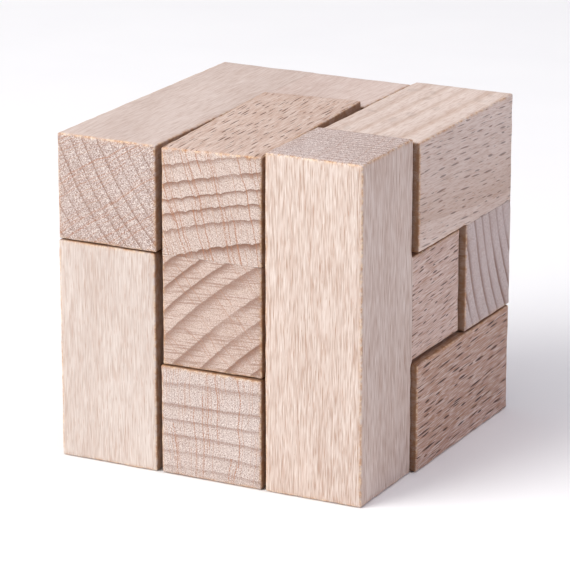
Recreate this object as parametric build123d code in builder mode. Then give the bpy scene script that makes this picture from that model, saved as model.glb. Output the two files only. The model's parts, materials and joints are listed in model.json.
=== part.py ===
from build123d import *
from dataclasses import dataclass
from math import atan, degrees
import os

# Seven-piece wooden puzzle cube, put together: 27 cells in a 3 x 3 x 3 grid, filled by seven
# different pieces, each glued from square beech bars and cubes.
# +Z is up and the cube stands on Z = 0, with the middle of its footprint at the origin.
# X runs to the right along the front, and Y runs from the front to the back.

# Driving sizes, in millimetres
cell = 15.0          # edge of one cell of the grid
cells_across = 3     # cells along each edge of the cube
room = 0.2           # the cube's looseness: faces stay inside their cells by shares of this
arris = 0.5          # rounding that sanding gives every outer edge


@dataclass
class Bar:
    """A bar or cube of a piece, from its first cell to its last, counted from the front left below.

    glued is the side that meets the piece's first bar. y and z, where given, replace the piece's
    own shares of the room for this bar alone.
    """

    name: str
    first: tuple
    last: tuple
    glued: str = ""
    y: tuple = None
    z: tuple = None


@dataclass
class Piece:
    """A puzzle piece and where it has settled in its cells.

    x, y and z say how far its faces stay inside the cells on the low and the high side, in shares
    of the room. lean is how far each end of its first bar has swung sideways, in the same shares.
    """

    name: str
    bars: tuple
    x: tuple
    y: tuple
    z: tuple = (0, 0)
    lean: float = 0


PIECES = (
    Piece(
        "l_piece",
        (
            Bar("long_bar", (0, 0, 2), (0, 2, 2)),
            Bar("end_cube", (1, 2, 2), (1, 2, 2), glued="-x", y=(3, 0)),
        ),
        x=(1.25, 2),
        y=(0, 0),
        z=(0, 3),
        lean=-1.2,
    ),
    Piece(
        "t_piece",
        (
            Bar("tower_bar", (2, 0, 0), (2, 0, 2)),
            Bar("side_cube", (2, 1, 1), (2, 1, 1), glued="-y", y=(0, 2), z=(1.75, 1.75)),
        ),
        x=(2, 3.5),
        y=(0, 0.75),
        z=(0, -2),
    ),
    Piece(
        "v_piece",
        (
            Bar("top_bar", (1, 0, 2), (1, 1, 2)),
            Bar("front_cube", (1, 0, 1), (1, 0, 1), glued="+z", y=(1, 2.75)),
        ),
        x=(0.75, 1.5),
        y=(1, 0),
        z=(0, 1.75),
        lean=1.3,
    ),
    Piece(
        "a_piece",
        (
            Bar("top_bar", (2, 1, 2), (2, 2, 2)),
            Bar("cross_bar", (1, 2, 1), (2, 2, 1), glued="+z", y=(0.5, 0.5), z=(0.25, 0)),
        ),
        x=(1.75, 0),
        y=(1, 0.5),
        z=(0, 0.75),
    ),
    Piece(
        "b_piece",
        (
            Bar("upright_bar", (0, 0, 0), (0, 0, 1)),
            Bar("cross_bar", (0, 1, 1), (1, 1, 1), glued="-y", z=(1.5, 0)),
        ),
        x=(0, 2.25),
        y=(0, 0.75),
    ),
    Piece(
        "p_piece",
        (
            Bar("base_bar", (0, 2, 0), (1, 2, 0)),
            Bar("front_cube", (0, 1, 0), (0, 1, 0), glued="+y"),
            Bar("top_cube", (0, 2, 1), (0, 2, 1), glued="-z"),
        ),
        x=(0, 2),
        y=(1, 0),
    ),
    Piece(
        "z_piece",
        (
            Bar("front_bar", (1, 0, 0), (1, 1, 0)),
            Bar("side_bar", (2, 1, 0), (2, 2, 0), glued="-x", y=(0.5, 1.5)),
        ),
        x=(0.5, 0),
        y=(0, 1),
    ),
)


def span(axis, piece, bar):
    """Where a bar starts and ends along one axis, with the grid's middle at 0 in X and Y."""
    grid_start = 0 if axis == "z" else -cells_across * cell / 2
    number = "xyz".index(axis)
    own_shares = getattr(piece, axis)
    low_share, high_share = getattr(bar, axis, None) or own_shares
    low = grid_start + bar.first[number] * cell + low_share * room
    high = grid_start + (bar.last[number] + 1) * cell - high_share * room
    if bar.glued == "-" + axis:
        low = grid_start + bar.first[number] * cell - own_shares[1] * room
    if bar.glued == "+" + axis:
        high = grid_start + (bar.last[number] + 1) * cell + own_shares[0] * room
    return low, high


def joint_span(axis, piece, bar):
    """Where the wood that two bars share runs along one axis: across the glue line, half a cell in."""
    low, high = span(axis, piece, bar)
    if bar.glued == "-" + axis:
        return low - cell / 2, low + cell / 2
    if bar.glued == "+" + axis:
        return high - cell / 2, high + cell / 2
    first_low, first_high = span(axis, piece, piece.bars[0])
    return max(low, first_low), min(high, first_high)


def settled_plane(piece):
    """The plane that carries a piece: under the middle of its first bar, swung by its lean."""
    low_corner, size = corner_and_size([span(axis, piece, piece.bars[0]) for axis in "xyz"])
    middle = low_corner + size / 2
    swing = degrees(atan(2 * piece.lean * room / max(size)))
    return Plane(origin=(middle.X, middle.Y, 0)).rotated((0, 0, swing))


def corner_and_size(spans):
    """The low corner and the size of the box that fills three spans."""
    low_corner = Vector(*[low for low, high in spans])
    size = Vector(*[high - low for low, high in spans])
    return low_corner, size


def block(piece, spans):
    """Fill three spans with a square-edged block, in the builder that calls this."""
    low_corner, size = corner_and_size(spans)
    with Locations(low_corner - settled_plane(piece).origin):
        Box(*size, align=Align.MIN)


def rounded_block(piece, spans):
    """A block of its own, sanded round along every edge."""
    with BuildPart() as rounded:
        block(piece, spans)
        fillet(rounded.edges(), arris)
    return rounded.part


def sanded_piece(piece):
    """The whole piece as it was sanded after gluing: rounded outside, flush across its glue lines."""
    wood = [rounded_block(piece, [span(axis, piece, bar) for axis in "xyz"]) for bar in piece.bars]
    for bar in piece.bars[1:]:
        wood.append(rounded_block(piece, [joint_span(axis, piece, bar) for axis in "xyz"]))
    with BuildPart() as whole:
        add(wood)
    return whole.part


os.makedirs("parts", exist_ok=True)

for piece in PIECES:
    whole = sanded_piece(piece)
    for bar in piece.bars:
        with BuildPart(settled_plane(piece)) as wood:
            block(piece, [span(axis, piece, bar) for axis in "xyz"])
            add(whole, mode=Mode.INTERSECT)
        wood.part.label = f"{piece.name}_{bar.name}"
        export_step(wood.part, f"parts/{wood.part.label}.step")
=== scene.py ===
import bpy
import json
from dataclasses import dataclass
from math import cos, radians, sin
from mathutils import Matrix, Vector


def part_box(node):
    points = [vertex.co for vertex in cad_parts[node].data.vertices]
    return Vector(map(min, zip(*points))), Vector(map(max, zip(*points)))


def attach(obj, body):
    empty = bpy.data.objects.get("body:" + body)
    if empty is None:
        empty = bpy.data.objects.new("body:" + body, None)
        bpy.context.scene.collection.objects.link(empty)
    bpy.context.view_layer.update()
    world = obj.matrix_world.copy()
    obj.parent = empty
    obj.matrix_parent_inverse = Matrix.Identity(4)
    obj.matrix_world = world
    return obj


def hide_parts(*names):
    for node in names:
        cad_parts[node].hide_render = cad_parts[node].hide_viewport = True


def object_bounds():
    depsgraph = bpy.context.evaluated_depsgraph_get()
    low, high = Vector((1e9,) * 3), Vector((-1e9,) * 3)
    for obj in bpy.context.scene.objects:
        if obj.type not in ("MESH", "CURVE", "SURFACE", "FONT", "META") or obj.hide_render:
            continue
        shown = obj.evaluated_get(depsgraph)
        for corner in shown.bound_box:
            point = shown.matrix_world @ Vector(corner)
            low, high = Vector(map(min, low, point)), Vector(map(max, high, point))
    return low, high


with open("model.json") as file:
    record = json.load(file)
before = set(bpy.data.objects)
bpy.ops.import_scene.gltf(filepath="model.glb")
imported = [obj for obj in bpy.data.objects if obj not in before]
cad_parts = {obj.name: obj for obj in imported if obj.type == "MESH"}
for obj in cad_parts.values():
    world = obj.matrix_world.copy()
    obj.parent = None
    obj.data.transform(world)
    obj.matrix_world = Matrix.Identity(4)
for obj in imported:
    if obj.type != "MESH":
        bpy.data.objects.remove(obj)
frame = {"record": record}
cad_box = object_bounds()

# Sizes, in metres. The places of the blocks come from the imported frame.
MM = 0.001
CELL = 15 * MM              # one cell of the 3 x 3 x 3 grid
ARRIS = 0.3 * MM            # rounding of the sanded edges
ARRIS_STEPS = 4             # flats across one rounding
CUTS_PER_CELL = 25          # grid lines across a cell, close enough for dents and worn edges
GRID_ROW = CELL / (CUTS_PER_CELL + 1)
SUPPORT = 1.2               # a grid line beside each rounding, this many roundings in from the side
TILT_FROM = 1.3             # a tilted side starts just below that line, also in roundings
TILT_STEPS = 8              # and fades into its block over this many grid rows
TOUCHING = 0.02 * MM        # faces nearer than this are glued together
OUTSIDE = 1.6 * MM          # a face this near the cube's own box is on the outside of the cube
HANDLED = 0.8 * MM          # how far the honey colour of a rubbed edge, and its painted highlight beads, reach
SEAM_SHADE_REACH = 3.5 * MM            # how far the painted brown shade of a seam reaches down a hidden face

# How far the loose pieces have swung in the cube, in degrees, counter-clockwise from above
SWING = {
    "l_piece": -0.6111,
    "v_piece": 0.9929,
}

AXES = {"x": Vector((1, 0, 0)), "y": Vector((0, 1, 0)), "z": Vector((0, 0, 1))}


# ---------------------------------------------------------------- colours

def srgb(red, green, blue):
    """A colour given as it looks on a screen, 0 to 255, as Blender's linear colour."""
    def linear(value):
        value /= 255
        return value / 12.92 if value <= 0.04045 else ((value + 0.055) / 1.055) ** 2.4
    return (linear(red), linear(green), linear(blue), 1.0)


CREAM = srgb(208, 193, 184)
PEACH = srgb(207, 188, 177)
ROSE = srgb(202, 178, 166)
FAWN = srgb(188, 162, 150)
UMBER = srgb(193, 162, 148)
LILAC = srgb(196, 177, 170)
LATEWOOD = srgb(150, 118, 102)
RING_BROWN = srgb(118, 78, 58)
RING_HONEY = srgb(176, 138, 110)
RAY_BROWN = srgb(82, 55, 45)
RAY_ORANGE = srgb(164, 110, 80)
TICK_ORANGE = srgb(170, 118, 86)
PORE_DARK = srgb(114, 82, 66)
FIBRE_TAN = srgb(140, 94, 64)
FIBRE_PALE = srgb(240, 232, 226)
HONEY = srgb(190, 132, 78)
# pale torn fibres on the arrises, brightened into a painted highlight
BEAD_HIGHLIGHT = srgb(236, 214, 182)
# painted shade: the brown that the dark gaps between the pieces show on the hidden faces
SEAM_SHADE = srgb(134, 94, 60)


@dataclass
class Grain:
    """How one block was cut from its board. Lengths are in millimetres and angles in degrees.

    along is the block's grain axis, and rise tips the grain off it towards another axis. bark is the
    way out from the pith across the grain, from the first of the two other axes towards the second,
    and pith is how far away the pith is. The rings, the rays and their flecks have sizes and then a
    strength on the ends of the grain and one on its sides, about 1 at the most. Last come the colours.
    """

    along: str
    bark: float
    pith: float = 60
    rise: float = 0
    ring_spacing: float = 2.0
    ring_crowding: float = 0.0
    ring_dark: float = 0.2
    ring_fade: float = 0.05
    ring_end: float = 0.6
    ring_side: float = 0.25
    scallop: float = 0.0
    ray_spacing: float = 1.3
    ray_height: float = 3.0
    ray_width: float = 0.10
    ray_end: float = 0.5
    ray_side: float = 0.5
    tick_side: float = 0.3
    streak: float = 0.2
    speckle_end: float = 0.6
    speckle_side: float = 0.3
    saw_marks: float = 0.0
    saw_turn: float = 0.0
    side: tuple = CREAM
    end: tuple = LILAC


GRAIN = {
    "l_piece_long_bar": Grain(
        "y", 212, pith=80, ring_spacing=1.85, ring_dark=0.2, ring_fade=0.03, ring_end=0.75, ring_side=0.12,
        ray_spacing=1.3, ray_end=0.5, ray_side=0.06, tick_side=0.15, streak=0.1, speckle_end=1.0,
        side=srgb(214, 197, 188), end=srgb(190, 172, 166)),
    "l_piece_end_cube": Grain(
        "y", 60, pith=45, ring_spacing=3.0, ring_side=0.06, ray_side=0.04, tick_side=0.1, streak=0.1,
        side=srgb(215, 196, 187)),
    "v_piece_top_bar": Grain(
        "y", 104, pith=95, ring_spacing=2.75, ring_crowding=0.04, ring_dark=0.4, ring_fade=0.03,
        ring_end=1.15, ring_side=0.2, scallop=0.22, ray_spacing=0.8, ray_height=4.2, ray_width=0.085,
        ray_end=0.85, ray_side=0.95, tick_side=0.55, streak=0.3, speckle_end=0.75, speckle_side=0.45,
        saw_marks=0.3, saw_turn=-25,
        side=srgb(212, 189, 176), end=srgb(208, 190, 181)),
    "v_piece_front_cube": Grain(
        "y", 130, pith=75, ring_spacing=2.7, ring_dark=0.55, ring_fade=0.06, ring_end=1.0, scallop=0.05,
        ray_end=0.12, streak=0.3, speckle_end=0.55, saw_marks=0.8, saw_turn=2,
        side=ROSE, end=srgb(202, 180, 169)),
    "t_piece_tower_bar": Grain(
        "z", 272, pith=55, ring_spacing=0.95, ring_dark=0.35, ring_side=0.05, ring_end=0.85, ray_spacing=0.9,
        ray_height=2.6, ray_width=0.05, ray_side=0.08, ray_end=0.3, tick_side=0.35, streak=0.3,
        speckle_end=1.0, speckle_side=0.52,
        side=srgb(212, 194, 183), end=srgb(209, 192, 187)),
    "t_piece_side_cube": Grain(
        "y", 8, pith=60, rise=3.7, ring_spacing=3.4, ray_spacing=0.75, ray_height=3.4, ray_width=0.09,
        ray_side=0.85, tick_side=0.6, streak=0.35, speckle_side=0.5, side=srgb(210, 184, 172)),
    "a_piece_top_bar": Grain(
        "y", 352, pith=120, rise=-3, ring_spacing=3.4, ring_dark=0.3, ring_fade=0.25, ring_side=0.4,
        ray_spacing=1.0, ray_height=3.9, ray_width=0.10, ray_side=0.62, tick_side=0.45, streak=0.25,
        side=srgb(225, 208, 198)),
    "a_piece_cross_bar": Grain(
        "x", 203, pith=60, ring_spacing=2.3, ring_dark=0.4, ring_end=1.15, ray_end=0.1, speckle_end=0.7,
        saw_marks=0.2, saw_turn=80, side=ROSE, end=srgb(207, 192, 188)),
    "b_piece_upright_bar": Grain(
        "z", 300, pith=65, ring_spacing=2.2, ring_side=0.1, ray_spacing=1.1, ray_width=0.05, ray_side=0.12,
        tick_side=0.35, streak=0.25, speckle_side=0.32, side=srgb(212, 199, 191)),
    "b_piece_cross_bar": Grain("x", 40, pith=50, side=CREAM),
    "p_piece_base_bar": Grain("x", 75, pith=70, ring_spacing=2.6, ray_side=0.5, side=ROSE),
    "p_piece_front_cube": Grain("x", 120, pith=60, ring_spacing=1.9, side=CREAM),
    "p_piece_top_cube": Grain("y", 15, pith=52, ring_spacing=2.2, ray_side=0.45, side=PEACH),
    "z_piece_front_bar": Grain(
        "y", 91, pith=110, ring_spacing=2.25, ring_dark=0.28, ring_fade=0.12, ring_end=0.6, ray_spacing=1.7,
        ray_width=0.12, ray_end=0.95, streak=0.3, speckle_end=0.85, side=FAWN, end=srgb(203, 188, 182)),
    "z_piece_side_bar": Grain(
        "y", 356, pith=58, rise=2.5, ring_spacing=4.0, ring_side=0.3, ray_spacing=0.72, ray_height=5.5,
        ray_width=0.12, ray_side=1.0, tick_side=0.8, streak=0.6, speckle_side=0.7, side=UMBER),
}


# ---------------------------------------------------------------- node helpers

def link(tree, socket, value):
    """Give a socket its value, or the link that its value comes through."""
    if isinstance(value, bpy.types.NodeSocket):
        tree.links.new(value, socket)
    else:
        socket.default_value = value


def add(tree, kind, inputs=None, **settings):
    """Add one node. inputs are the values or links of its sockets, by name or number."""
    made = tree.nodes.new(kind)
    for name, value in settings.items():
        setattr(made, name, value)
    for name, value in (inputs or {}).items():
        link(tree, made.inputs[name], value)
    return made


def calc(tree, operation, *values):
    """One arithmetic step. Returns its result."""
    return add(tree, "ShaderNodeMath", dict(enumerate(values)), operation=operation).outputs[0]


def ramp(tree, value, low, high):
    """0 up to low, 1 from high on, and smooth between."""
    inputs = {"Value": value, "From Min": low, "From Max": high}
    return add(tree, "ShaderNodeMapRange", inputs, interpolation_type="SMOOTHSTEP").outputs[0]


def product(tree, first, *others):
    """All the values multiplied together."""
    for other in others:
        first = calc(tree, "MULTIPLY", first, other)
    return first


def between(tree, share, low, high):
    """A value that goes from low to high as the share goes from 0 to 1."""
    return calc(tree, "MULTIPLY_ADD", share, calc(tree, "SUBTRACT", high, low), low)


def tint(tree, share, first, second):
    """The second colour laid over the first by a share from 0 to 1."""
    return add(tree, "ShaderNodeMix", {0: share, 6: first, 7: second}, data_type="RGBA").outputs[2]


def noise(tree, place, scale, detail=2.0, roughness=0.5):
    """Cloudy noise from 0 to 1, with its scale in spots per millimetre."""
    inputs = {"Vector": place, "Scale": scale, "Detail": detail, "Roughness": roughness}
    return add(tree, "ShaderNodeTexNoise", inputs).outputs[0]


def stretched(tree, place, along):
    """A place with its lengths along the grain shortened, so that a pattern on it is drawn out."""
    return add(tree, "ShaderNodeMapping", {"Vector": place, "Scale": (1, 1, along)}).outputs[0]


def new_group(name, inputs, outputs):
    """A shader node group with named sockets. Returns it with its input and output sockets."""
    kinds = {float: "NodeSocketFloat", tuple: "NodeSocketColor", Vector: "NodeSocketVector"}
    tree = bpy.data.node_groups.new(name, "ShaderNodeTree")
    for label, default in inputs.items():
        made = tree.interface.new_socket(label, in_out="INPUT", socket_type=kinds[type(default)])
        made.default_value = default
    for label, kind in outputs.items():
        tree.interface.new_socket(label, in_out="OUTPUT", socket_type=kinds[kind])
    return tree, add(tree, "NodeGroupInput").outputs, add(tree, "NodeGroupOutput").inputs


def use_group(tree, group, inputs):
    """Place a group in a material or in another group. Returns its outputs."""
    return add(tree, "ShaderNodeGroup", inputs, node_tree=group).outputs


# ---------------------------------------------------------------- what beech is made of

# Sizes in millimetres
BROAD_RAY_REACH = 18.0      # how far out from the pith a broad ray goes on before it ends
FINE_RAYS = {"Spacing": 0.36, "Height": 2.4, "Width": 0.045, "Reach": 4.0}
ARCH_SPACING = 1.9          # width of one scallop of a growth ring
RING_WANDER = 2.0           # how far the rings stray from true circles
RING_ROUGHNESS = 0.2        # how uneven a ring's line is close up
GRAIN_SWAY = 1.6            # how far the grain sways along a board

# How many spots the noises have in a millimetre across the grain
CLOUD_SPOTS = 0.12          # slow changes of colour
STREAK_SPOTS = 3.6          # warm streaks
FIBRE_SPOTS = 7.5           # fibres, and pores on the end grain

# How much shorter a pattern is measured along the grain than across it, which draws it out
SLOW_STRETCH = 0.25
FIBRE_STRETCH = 0.055


def make_rays():
    """Wood rays: thin upright sheets that run out from the pith, each a tapered lens along the grain."""
    tree, given, result = new_group(
        "wood rays",
        {"Around": 0.0, "Along": 0.0, "Out": 0.0, "Spacing": 1.3, "Height": 3.0, "Width": 0.1, "Reach": 14.0},
        {"Fleck": float},
    )
    across = calc(tree, "DIVIDE", given["Around"], given["Spacing"])
    along = calc(tree, "DIVIDE", given["Along"], given["Height"])
    out = calc(tree, "DIVIDE", given["Out"], given["Reach"])
    place = add(tree, "ShaderNodeCombineXYZ", {"X": across, "Y": along, "Z": out}).outputs[0]
    cell = add(tree, "ShaderNodeTexVoronoi", {"Vector": place, "Scale": 1.0, "Randomness": 1.0}).outputs
    offset = add(tree, "ShaderNodeVectorMath", {0: place, 1: cell["Position"]}, operation="SUBTRACT")
    side, up, _ = add(tree, "ShaderNodeSeparateXYZ", {0: offset.outputs[0]}).outputs
    chance = add(tree, "ShaderNodeSeparateColor", {0: cell["Color"]}).outputs
    half_height = calc(tree, "MULTIPLY_ADD", chance[0], 0.32, 0.12)
    reach_up = calc(tree, "DIVIDE", up, half_height)
    taper = calc(tree, "SUBTRACT", 1.0, calc(tree, "MULTIPLY", reach_up, reach_up))
    girth = calc(tree, "MULTIPLY", given["Width"], calc(tree, "MULTIPLY_ADD", chance[1], 0.9, 0.45))
    half_width = calc(tree, "MULTIPLY", girth, calc(tree, "MAXIMUM", taper, 0.0))
    distance = calc(tree, "MULTIPLY", calc(tree, "ABSOLUTE", side), given["Spacing"])
    inside = calc(tree, "DIVIDE", calc(tree, "SUBTRACT", half_width, distance), given["Width"])
    tree.links.new(ramp(tree, inside, -0.15, 0.45), result["Fleck"])
    return tree


def make_rings():
    """Growth rings: each darkens towards its bark side, where it ends in a dark line."""
    tree, given, result = new_group(
        "growth rings",
        {"Out": 0.0, "Place": Vector((0, 0, 0)), "Middle": 50.0, "Spacing": 2.0, "Crowding": 0.0, "Dark": 0.2,
         "Fade": 0.05},
        {"Latewood": float, "Line": float, "Chance": float},
    )
    wander = noise(tree, given["Place"], 0.05, detail=1.0)
    out = calc(tree, "MULTIPLY_ADD", wander, RING_WANDER, given["Out"])
    rough_line = calc(tree, "SUBTRACT", noise(tree, given["Place"], 1.2, detail=2.0), 0.5)
    out = calc(tree, "MULTIPLY_ADD", rough_line, RING_ROUGHNESS, out)
    beyond = calc(tree, "MAXIMUM", calc(tree, "SUBTRACT", out, given["Middle"]), 0.0)
    crowded = product(tree, beyond, beyond, given["Crowding"])
    turn = calc(tree, "DIVIDE", calc(tree, "ADD", out, crowded), given["Spacing"])
    drift = add(tree, "ShaderNodeTexNoise", {"W": turn, "Scale": 0.43, "Detail": 0.0}, noise_dimensions="1D")
    turn = calc(tree, "MULTIPLY_ADD", drift.outputs[0], 0.55, turn)
    part = calc(tree, "FRACT", turn)
    chance = add(tree, "ShaderNodeTexWhiteNoise", {"W": calc(tree, "FLOOR", turn)}, noise_dimensions="1D")
    dark_from = calc(tree, "SUBTRACT", 1.0, given["Dark"])
    rise = calc(tree, "POWER", ramp(tree, part, dark_from, 1.0), 1.5)
    afterglow = calc(tree, "SUBTRACT", 1.0, ramp(tree, part, 0.0, given["Fade"]))
    tree.links.new(calc(tree, "POWER", part, 3.0), result["Latewood"])
    tree.links.new(calc(tree, "MAXIMUM", rise, afterglow), result["Line"])
    tree.links.new(chance.outputs[0], result["Chance"])
    return tree


def make_edge_wear_and_painted_light():
    """Handling turns the arrises honey brown with pale torn beads that carry a painted highlight, and brown
    shade is painted down the hidden faces at the seams.
    """
    tree, given, result = new_group(
        "edge wear and painted light",
        {"Color": CREAM, "Place": Vector((0, 0, 0)), "Edge": 0.0, "Seam": 0.0},
        {"Color": tuple},
    )
    rim = calc(tree, "POWER", given["Edge"], 2.2)
    patchy = ramp(tree, noise(tree, given["Place"], 1.1, detail=3.0), 0.36, 0.62)
    colour = tint(tree, product(tree, rim, patchy, 0.85), given["Color"], HONEY)
    # pale beads along the arrises: torn fibres, painted bright as highlight specks
    bead_highlights = ramp(tree, noise(tree, given["Place"], 2.4, detail=2.0), 0.5, 0.58)
    colour = tint(tree, product(tree, calc(tree, "POWER", given["Edge"], 3.0), bead_highlights, 0.9), colour, BEAD_HIGHLIGHT)
    # painted shade: brown laid down the hidden faces from their rim, where the gaps between the pieces are
    # dark
    painted_shade = calc(tree, "MULTIPLY", given["Seam"], between(tree, patchy, 0.75, 1.0))
    colour = tint(tree, painted_shade, colour, SEAM_SHADE)
    tree.links.new(colour, result["Color"])
    return tree


def make_beech(rays, rings, edge_wear_and_painted_light):
    """Solid beech, cut anywhere: rings, broad and fine rays, pores and slow changes of colour."""
    tree, given, result = new_group(
        "solid beech",
        {
            "Wood Place": Vector((0, 0, 0)), "Saw Place": Vector((0, 0, 0)),
            "End Grain": 0.0, "Flat Sawn": 0.0, "Edge": 0.0, "Seam": 0.0,
            "Pith Distance": 50.0, "Ring Spacing": 2.0, "Ring Crowding": 0.0, "Ring Dark": 0.2,
            "Ring Fade": 0.05, "Ring On End": 0.6, "Ring On Side": 0.25, "Scallop": 0.0,
            "Ray Spacing": 1.3, "Ray Height": 3.0, "Ray Width": 0.1, "Ray On End": 0.5, "Ray On Side": 0.5,
            "Tick On Side": 0.3, "Streak": 0.2, "Speckle On End": 0.6, "Speckle On Side": 0.4,
            "Saw Marks": 0.0,
            "Side Colour": CREAM, "End Colour": LILAC,
        },
        {"Color": tuple, "Roughness": float, "Height": float},
    )
    on_end = given["End Grain"]
    place = given["Wood Place"]
    wood_x, wood_y, wood_z = add(tree, "ShaderNodeSeparateXYZ", {0: place}).outputs
    slow = stretched(tree, place, SLOW_STRETCH)
    fibre = stretched(tree, place, FIBRE_STRETCH)
    sway = calc(tree, "SUBTRACT", noise(tree, slow, 0.16), 0.5)
    wood_y = calc(tree, "MULTIPLY_ADD", sway, GRAIN_SWAY, wood_y)
    squares = calc(tree, "ADD", product(tree, wood_x, wood_x), product(tree, wood_y, wood_y))
    out = calc(tree, "SQRT", squares)
    around = calc(tree, "MULTIPLY", calc(tree, "ARCTAN2", wood_y, wood_x), given["Pith Distance"])

    broad = use_group(tree, rays, {
        "Around": around, "Along": wood_z, "Out": out, "Spacing": given["Ray Spacing"],
        "Height": given["Ray Height"], "Reach": BROAD_RAY_REACH,
        "Width": product(tree, given["Ray Width"], between(tree, on_end, 1.0, 1.6)),
    })
    fine = use_group(tree, rays, {"Around": around, "Along": wood_z, "Out": out, **FINE_RAYS})

    # the rings bulge outwards a little between one cusp and the next
    scallops = {"W": calc(tree, "DIVIDE", around, ARCH_SPACING), "Scale": 1.0, "Randomness": 0.8}
    from_cusp = add(tree, "ShaderNodeTexVoronoi", scallops, voronoi_dimensions="1D").outputs["Distance"]
    arch = product(tree, from_cusp, calc(tree, "SUBTRACT", 1.0, from_cusp), 4.0, given["Scallop"])
    ring = use_group(tree, rings, {
        "Out": calc(tree, "SUBTRACT", out, arch), "Place": slow, "Middle": given["Pith Distance"],
        "Spacing": given["Ring Spacing"], "Crowding": given["Ring Crowding"],
        "Dark": given["Ring Dark"], "Fade": given["Ring Fade"],
    })

    # the ground colour, its slow changes and its streaks
    colour = tint(tree, on_end, given["Side Colour"], given["End Colour"])
    clouds = ramp(tree, noise(tree, slow, CLOUD_SPOTS, detail=3.0, roughness=0.6), 0.35, 0.72)
    colour = tint(tree, calc(tree, "MULTIPLY", clouds, 0.2), colour, LATEWOOD)
    streaks = noise(tree, fibre, STREAK_SPOTS, detail=3.0, roughness=0.6)
    warm = calc(tree, "MULTIPLY", ramp(tree, streaks, 0.48, 0.7), given["Streak"])
    colour = tint(tree, product(tree, warm, between(tree, on_end, 0.7, 0.25)), colour, TICK_ORANGE)

    # pores and fibres: dots on the end grain, fine streaks along the side grain
    spots = noise(tree, fibre, FIBRE_SPOTS, detail=1.0)
    dots = calc(tree, "MULTIPLY_ADD", spots, 0.8, product(tree, streaks, 0.2))
    speckle = between(tree, on_end, given["Speckle On Side"], given["Speckle On End"])
    dark = calc(tree, "MULTIPLY", ramp(tree, dots, 0.5, 0.66), speckle)
    light = calc(tree, "MULTIPLY", ramp(tree, dots, 0.5, 0.34), speckle)
    pore_colour = tint(tree, on_end, FIBRE_TAN, PORE_DARK)
    colour = tint(tree, calc(tree, "MULTIPLY", dark, 0.75), colour, pore_colour)
    colour = tint(tree, calc(tree, "MULTIPLY", light, 0.75), colour, FIBRE_PALE)

    # growth rings, which come and go a little
    presence = between(tree, ramp(tree, noise(tree, slow, 0.09, detail=1.0), 0.3, 0.5), 0.45, 1.0)
    strength = between(tree, on_end, given["Ring On Side"], given["Ring On End"])
    ring_share = product(tree, presence, between(tree, ring["Chance"], 0.6, 1.1), strength)
    ring_colour = tint(tree, on_end, RING_HONEY, RING_BROWN)
    colour = tint(tree, product(tree, ring["Latewood"], ring_share, 0.4), colour, LATEWOOD)
    colour = tint(tree, product(tree, ring["Line"], ring_share, 0.8), colour, ring_colour)

    # rays: brown lenses on the flat-sawn sides, faint on the others, orange threads on the end grain
    ray_colour = tint(tree, on_end, RAY_BROWN, RAY_ORANGE)
    ray_on_side = product(tree, given["Ray On Side"], between(tree, given["Flat Sawn"], 0.05, 1.0))
    ray_on_end = product(tree, given["Ray On End"], between(tree, ramp(tree, dots, 0.42, 0.56), 0.45, 1.0))
    ray_share = product(tree, broad["Fleck"], between(tree, on_end, ray_on_side, ray_on_end))
    colour = tint(tree, ray_share, colour, ray_colour)
    tick_on_side = product(tree, given["Tick On Side"], between(tree, given["Flat Sawn"], 0.05, 1.0))
    tick_share = product(tree, fine["Fleck"], between(tree, on_end, tick_on_side, 0.5))
    colour = tint(tree, tick_share, colour, TICK_ORANGE)

    # scratches of the saw across the end grain
    scratch = ramp(tree, noise(tree, given["Saw Place"], 1.0, detail=3.0, roughness=0.6), 0.49, 0.62)
    scratch = product(tree, scratch, given["Saw Marks"], on_end)
    colour = tint(tree, calc(tree, "MULTIPLY", scratch, 0.8), colour, LATEWOOD)

    # honey wear on the arrises, with a painted highlight on their beads and painted shade at the seams
    worn = use_group(tree, edge_wear_and_painted_light, {
        "Color": colour, "Place": place, "Edge": given["Edge"], "Seam": given["Seam"],
    })
    tree.links.new(worn["Color"], result["Color"])

    rough = between(tree, dots, 0.5, 0.74)
    tree.links.new(calc(tree, "SUBTRACT", rough, product(tree, given["Edge"], 0.12)), result["Roughness"])
    pits = calc(tree, "MULTIPLY_ADD", dark, 0.7, product(tree, broad["Fleck"], 0.3))
    pits = calc(tree, "MULTIPLY_ADD", scratch, 0.5, pits)
    pits = calc(tree, "MULTIPLY_ADD", ring["Line"], product(tree, ring_share, 0.3), pits)
    tree.links.new(calc(tree, "SUBTRACT", 1.0, pits), result["Height"])
    return tree


def grain_axes(grain):
    """The directions of a block's grain and bark, in the cube."""
    others = [name for name in "xyz" if name != grain.along]
    turn = radians(grain.bark)
    bark = AXES[others[0]] * cos(turn) + AXES[others[1]] * sin(turn)
    tip = radians(grain.rise)
    along = AXES[grain.along] * cos(tip) + AXES["z"] * sin(tip)
    bark = (bark - along * bark.dot(along)).normalized()
    return along, bark


def wood_mapping(grain, middle):
    """Turn and place of the board's own frame: pith on its Z axis, bark along +X, in millimetres."""
    along, bark = grain_axes(grain)
    turned = Matrix((bark, along.cross(bark), along))
    place = Vector((grain.pith, 0, 0)) - turned @ (middle / MM)
    return turned.to_euler(), place


def saw_mapping(grain):
    """Turn and stretch that draw a noise out into scratches across the grain, in millimetres."""
    others = [AXES[name] for name in "xyz" if name != grain.along]
    turn = radians(grain.saw_turn)
    stroke = others[0] * cos(turn) + others[1] * sin(turn)
    turned = Matrix((stroke, AXES[grain.along].cross(stroke), AXES[grain.along]))
    return turned.to_euler()


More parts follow.
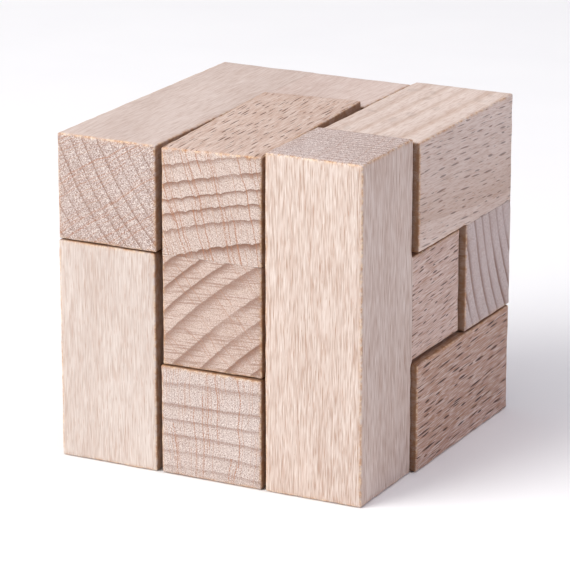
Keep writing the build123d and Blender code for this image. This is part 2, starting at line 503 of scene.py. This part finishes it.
def beech_material(name, grain, middle, beech):
    """The finish of one block, with its own cut through the board."""
    material = bpy.data.materials.new(name)
    material.use_nodes = True
    tree = material.node_tree
    shader = tree.nodes["Principled BSDF"]
    coordinates = add(tree, "ShaderNodeTexCoord").outputs["Object"]
    per_mm = (1 / MM, 1 / MM, 1 / MM)
    turn, place = wood_mapping(grain, middle)
    wood_place = add(tree, "ShaderNodeMapping", {
        "Vector": coordinates, "Location": place, "Rotation": turn, "Scale": per_mm,
    }).outputs[0]
    saw_place = add(tree, "ShaderNodeMapping", {
        "Vector": coordinates, "Rotation": saw_mapping(grain), "Scale": per_mm,
    }).outputs[0]
    saw_place = add(tree, "ShaderNodeMapping", {"Vector": saw_place, "Scale": (0.16, 4.5, 0.5)}).outputs[0]
    marks = {
        label: add(tree, "ShaderNodeAttribute", attribute_name=attribute).outputs["Fac"]
        for label, attribute in MARKS.items()
    }
    wood = use_group(tree, beech, {
        "Wood Place": wood_place, "Saw Place": saw_place, **marks, "Pith Distance": float(grain.pith),
        "Ring Spacing": grain.ring_spacing, "Ring Crowding": grain.ring_crowding,
        "Ring Dark": grain.ring_dark, "Ring Fade": grain.ring_fade, "Ring On End": grain.ring_end,
        "Ring On Side": grain.ring_side, "Scallop": grain.scallop, "Ray Spacing": grain.ray_spacing,
        "Ray Height": grain.ray_height, "Ray Width": grain.ray_width, "Ray On End": grain.ray_end,
        "Ray On Side": grain.ray_side, "Tick On Side": grain.tick_side, "Streak": grain.streak,
        "Speckle On End": grain.speckle_end, "Speckle On Side": grain.speckle_side,
        "Saw Marks": grain.saw_marks, "Side Colour": grain.side, "End Colour": grain.end,
    })
    bump = add(tree, "ShaderNodeBump", {"Height": wood["Height"], "Strength": 0.6, "Distance": 0.05 * MM})
    link(tree, shader.inputs["Base Color"], wood["Color"])
    link(tree, shader.inputs["Roughness"], wood["Roughness"])
    link(tree, shader.inputs["Normal"], bump.outputs[0])
    shader.inputs["Specular IOR Level"].default_value = 0.3
    return material


# ---------------------------------------------------------------- the blocks' shapes

# What the finish reads from a block's mesh
MARKS = {
    "End Grain": "end_grain",       # 1 on the ends of the grain
    "Flat Sawn": "flat_sawn",       # 1 on sides that the rays run straight into
    "Edge": "edge",                 # 1 on the arrises
    "Seam": "seam_shade",                 # 1 at the rim of the faces that are hidden in the cube, where brown shade is painted
}


@dataclass
class Face:
    """One flat side of a block: the axis it looks along, its place on it, and whether it is hidden."""

    axis: int
    place: float
    hidden: bool


@dataclass
class Block:
    """One block before its piece swung: its corners, and the flat boxes where it is glued."""

    node: str
    body: str
    low: Vector
    high: Vector
    glued: list

    @property
    def middle(self):
        return (self.low + self.high) / 2

    @property
    def size(self):
        return self.high - self.low

    @property
    def faces(self):
        found = []
        for axis in range(3):
            for place, outer in zip((self.low[axis], self.high[axis]), (cad_box[0][axis], cad_box[1][axis])):
                found.append(Face(axis, place, abs(place - outer) > OUTSIDE))
        return found


def straight_block(node, body):
    """A node's corners as they were before its piece swung."""
    low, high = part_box(node)
    middle = (low + high) / 2
    size = high - low
    swing = radians(abs(SWING.get(body, 0)))
    if swing:
        c, s = cos(swing), sin(swing)
        across = (size.x * c - size.y * s) / (c * c - s * s)
        deep = (size.y * c - size.x * s) / (c * c - s * s)
        size = Vector((across, deep, size.z))
        middle = Matrix.Rotation(-radians(SWING[body]), 3, "Z") @ middle
    return Block(node, body, middle - size / 2, middle + size / 2, [])


def shared_face(first, second):
    """The flat box where two blocks of a piece meet face to face."""
    low = [max(a, b) for a, b in zip(first.low, second.low)]
    high = [min(a, b) for a, b in zip(first.high, second.high)]
    spread = [h - l for l, h in zip(low, high)]
    thin = [abs(gap) < TOUCHING for gap in spread]
    wide = [gap > CELL / 2 for gap in spread]
    return (Vector(low), Vector(high)) if sum(thin) == 1 and sum(wide) == 2 else None


def piece_blocks(body, nodes):
    """All blocks of one piece, each with the faces that it shares with the others."""
    blocks = [straight_block(node, body) for node in nodes]
    for block in blocks:
        for other in blocks:
            face = shared_face(block, other) if other is not block else None
            if face:
                block.glued.append(face)
    return blocks


def is_glued(block, face, point):
    """Whether a face is glued to another block near a point of the face."""
    on_face = Vector(point)
    on_face[face.axis] = face.place
    return any(
        all(l - ARRIS <= p <= h + ARRIS for l, p, h in zip(low, on_face, high))
        and abs(low[face.axis] - face.place) < TOUCHING and abs(high[face.axis] - face.place) < TOUCHING
        for low, high in block.glued
    )


def nearest_faces(block, point):
    """The block's free faces and their distances from a point, nearest first."""
    free = [face for face in block.faces if not is_glued(block, face, point)]
    return sorted([(abs(point[face.axis] - face.place), face) for face in free], key=lambda pair: pair[0])


def select_only(made, kind, chosen):
    """Select the vertices or edges of a mesh that a test chooses, and nothing else."""
    bpy.ops.object.mode_set(mode="EDIT")
    bpy.ops.mesh.select_mode(type=kind)
    bpy.ops.mesh.select_all(action="DESELECT")
    bpy.ops.object.mode_set(mode="OBJECT")
    for item in made.data.vertices if kind == "VERT" else made.data.edges:
        item.select = chosen(item)
    bpy.ops.object.mode_set(mode="EDIT")


def cut_all(place, axis):
    """Cut the whole mesh along a plane."""
    bpy.ops.mesh.select_all(action="SELECT")
    bpy.ops.mesh.bisect(plane_co=place, plane_no=AXES[axis])


def start_block(block):
    """A box at its size and place, cut into a fine grid."""
    bpy.ops.object.select_all(action="DESELECT")
    bpy.ops.mesh.primitive_cube_add(size=1, location=block.middle)
    made = bpy.context.object
    made.scale = block.size
    bpy.ops.object.transform_apply(location=True, rotation=True, scale=True)
    bpy.ops.object.mode_set(mode="EDIT")
    for number, axis in enumerate("xyz"):
        cells = round(block.size[number] / CELL)
        for cut in range(1, cells):
            cut_all(block.low + AXES[axis] * block.size[number] * cut / cells, axis)
    bpy.ops.mesh.select_all(action="SELECT")
    bpy.ops.mesh.subdivide(number_cuts=CUTS_PER_CELL)
    bpy.ops.object.mode_set(mode="OBJECT")
    return made


def round_arrises(made, block):
    """Bevel every free edge but not the glue lines, and keep the faces flat beside the bevels."""
    def is_arris(edge):
        ends = [made.data.vertices[number].co for number in edge.vertices]
        faces = nearest_faces(block, (ends[0] + ends[1]) / 2)
        return faces[1][0] < TOUCHING

    select_only(made, "EDGE", is_arris)
    bpy.ops.mesh.bevel(offset=ARRIS, segments=ARRIS_STEPS, profile=0.5, affect="EDGES")
    for axis, direction in AXES.items():
        cut_all(block.low + direction * ARRIS * SUPPORT, axis)
        cut_all(block.high - direction * ARRIS * SUPPORT, axis)
    bpy.ops.object.mode_set(mode="OBJECT")


def write_marks(made, block, grain):
    """Write on the mesh what the finish and the wear read: see MARKS."""
    mesh = made.data
    _, bark = grain_axes(grain)
    along = "xyz".index(grain.along)
    worn = made.vertex_groups.new(name="worn edges")
    marks = {name: [] for name in MARKS.values()}
    for vertex in mesh.vertices:
        near = nearest_faces(block, vertex.co)
        weights = [(max(1 - gap / ARRIS, 0) ** 2, face) for gap, face in near]
        total = sum(weight for weight, _ in weights) or 1
        hidden = sum(weight for weight, face in weights if face.hidden) / total
        to_arris = near[1][0]
        edge = max(1 - to_arris / HANDLED, 0)
        marks["end_grain"].append(sum(weight for weight, face in weights if face.axis == along) / total)
        marks["flat_sawn"].append(sum(weight * abs(bark[face.axis]) for weight, face in weights) / total)
        marks["edge"].append(edge)
        # painted shade in the gaps: strongest on the hidden faces near their rim
        marks["seam_shade"].append(hidden ** 2 * max(1 - to_arris / SEAM_SHADE_REACH, 0))
        worn.add([vertex.index], edge, "REPLACE")
    for name, values in marks.items():
        mesh.attributes.new(name, "FLOAT", "POINT")
        mesh.attributes[name].data.foreach_set("value", values)


def dent(made, name, size, depth, group=""):
    """Push the surface in by uneven amounts, up to a depth."""
    clouds = bpy.data.textures.get(name) or bpy.data.textures.new(name, "CLOUDS")
    clouds.noise_scale = size
    clouds.noise_depth = 2
    modifier = made.modifiers.new(name, "DISPLACE")
    modifier.texture = clouds
    modifier.texture_coords = "LOCAL"
    modifier.mid_level = 1
    modifier.strength = depth
    modifier.vertex_group = group
    bpy.ops.object.modifier_apply(modifier=modifier.name)


def tilt_side(made, depth_of, centre, turns, lift=(0, 0, 0)):
    """Tilt one side of a block in small steps, each reaching one row deeper into it than the last.

    depth_of tells how deep a point lies below that side, and turns are degrees by axis.
    """
    for step in range(TILT_STEPS):
        reach = ARRIS * TILT_FROM + step * GRID_ROW
        select_only(made, "VERT", lambda vertex: depth_of(vertex.co) < reach)
        for axis, angle in turns.items():
            part = -radians(angle) / TILT_STEPS
            bpy.ops.transform.rotate(value=part, orient_axis=axis, center_override=centre)
        bpy.ops.transform.translate(value=Vector(lift) / TILT_STEPS)
        bpy.ops.object.mode_set(mode="OBJECT")


def sand_out_of_true(made, block):
    """The V piece's top rises to the back and right, and the L piece's long bar widens to the front."""
    if block.node == "v_piece_top_bar":
        top = Vector((block.middle.x, block.middle.y, block.high.z))
        tilt_side(made, lambda point: top.z - point.z, top, {"X": 1.5, "Y": -1.2}, lift=(0, 0, 0.15 * MM))
    if block.node == "l_piece_long_bar":
        hinge = Vector((block.high.x, CELL / 2, block.middle.z))
        tilt_side(made, lambda point: hinge.x - point.x if point.y < hinge.y else CELL, hinge, {"Z": 0.86})


def build_block(block, grain, material):
    """One block, planed, sanded and swung with its piece, in place of its CAD node."""
    made = start_block(block)
    round_arrises(made, block)
    write_marks(made, block, grain)
    sand_out_of_true(made, block)
    dent(made, "planing waves", size=9 * MM, depth=0.05 * MM)
    dent(made, "rubbed edges", size=2.2 * MM, depth=0.2 * MM, group="worn edges")
    made.vertex_groups.clear()
    made.rotation_euler.z = radians(SWING.get(block.body, 0))
    bpy.ops.object.transform_apply(location=True, rotation=True, scale=True)
    bpy.ops.object.shade_smooth_by_angle(angle=radians(40))
    made.name = block.node + "_wood"
    made.data.name = made.name
    made.data.materials.clear()
    made.data.materials.append(material)
    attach(made, block.body)
    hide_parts(block.node)
    return made


beech_group = make_beech(make_rays(), make_rings(), make_edge_wear_and_painted_light())

for body, nodes in frame["record"]["behaviour"]["bodies"].items():
    for block in piece_blocks(body, nodes):
        grain = GRAIN[block.node]
        swung_middle = Matrix.Rotation(radians(SWING.get(body, 0)), 3, "Z") @ block.middle
        material = beech_material(block.node + "_beech", grain, swung_middle, beech_group)
        build_block(block, grain, material)


# ---------------------------------------------------------------- room, light and camera

def pale_floor():
    """A plain, nearly white table top under the cube."""
    bpy.ops.object.select_all(action="DESELECT")
    bpy.ops.mesh.primitive_plane_add(size=6, location=(0, 0, 0))
    floor = bpy.context.object
    floor.name = "floor"
    material = bpy.data.materials.new("pale floor")
    material.use_nodes = True
    tree = material.node_tree
    shader = tree.nodes["Principled BSDF"]
    place = add(tree, "ShaderNodeTexCoord").outputs["Object"]
    mottle = noise(tree, place, 40.0, detail=2.0)
    link(tree, shader.inputs["Base Color"], tint(tree, mottle, srgb(250, 250, 250), srgb(246, 246, 247)))
    shader.inputs["Roughness"].default_value = 0.9
    shader.inputs["Specular IOR Level"].default_value = 0.0
    floor.data.materials.append(material)


def aim_at_cube(made, azimuth, height, distance):
    """Place a lamp or camera around the cube. Azimuth 0 is in front of the cube, and 90 to its right."""
    turn, lift = radians(azimuth), radians(height)
    way = Vector((sin(turn) * cos(lift), -cos(turn) * cos(lift), sin(lift)))
    made.location = Vector((0, 0, 1.5 * CELL)) + way * distance
    made.rotation_euler = way.to_track_quat("Z", "Y").to_euler()
    bpy.context.scene.collection.objects.link(made)


def soft_box(name, azimuth, height, distance, size, power, colour=(1, 1, 1)):
    """A square soft box aimed at the cube."""
    lamp = bpy.data.lights.new(name, "AREA")
    lamp.size = size
    lamp.energy = power
    lamp.color = colour
    aim_at_cube(bpy.data.objects.new(name, lamp), azimuth, height, distance)


def pale_world(strength, colour):
    """Even light from all around."""
    world = bpy.data.worlds.new("white room")
    world.use_nodes = True
    world.node_tree.nodes["Background"].inputs["Color"].default_value = (*colour, 1)
    world.node_tree.nodes["Background"].inputs["Strength"].default_value = strength
    bpy.context.scene.world = world


def view_camera(azimuth, height, distance, lens, shift):
    """The camera, aimed at the middle of the cube."""
    data = bpy.data.cameras.new("camera")
    data.lens = lens
    data.sensor_width = 36
    data.shift_x, data.shift_y = shift
    data.clip_start = 0.01
    made = bpy.data.objects.new("camera", data)
    aim_at_cube(made, azimuth, height, distance)
    bpy.context.scene.camera = made


bpy.context.scene.view_settings.view_transform = "Standard"
pale_floor()
pale_world(strength=0.15, colour=(0.97, 0.95, 1.06))
soft_box("key light", azimuth=-38, height=32, distance=1.2, size=0.9, power=16.2, colour=(1.0, 0.985, 0.955))
soft_box("top light", azimuth=0, height=85, distance=1.2, size=0.9, power=6.5)
soft_box("fill light", azimuth=100, height=35, distance=1.4, size=1.0, power=5.5, colour=(0.97, 0.92, 1.08))
view_camera(azimuth=27.24, height=16.94, distance=0.4508, lens=212.35, shift=(-0.0083, -0.0229))
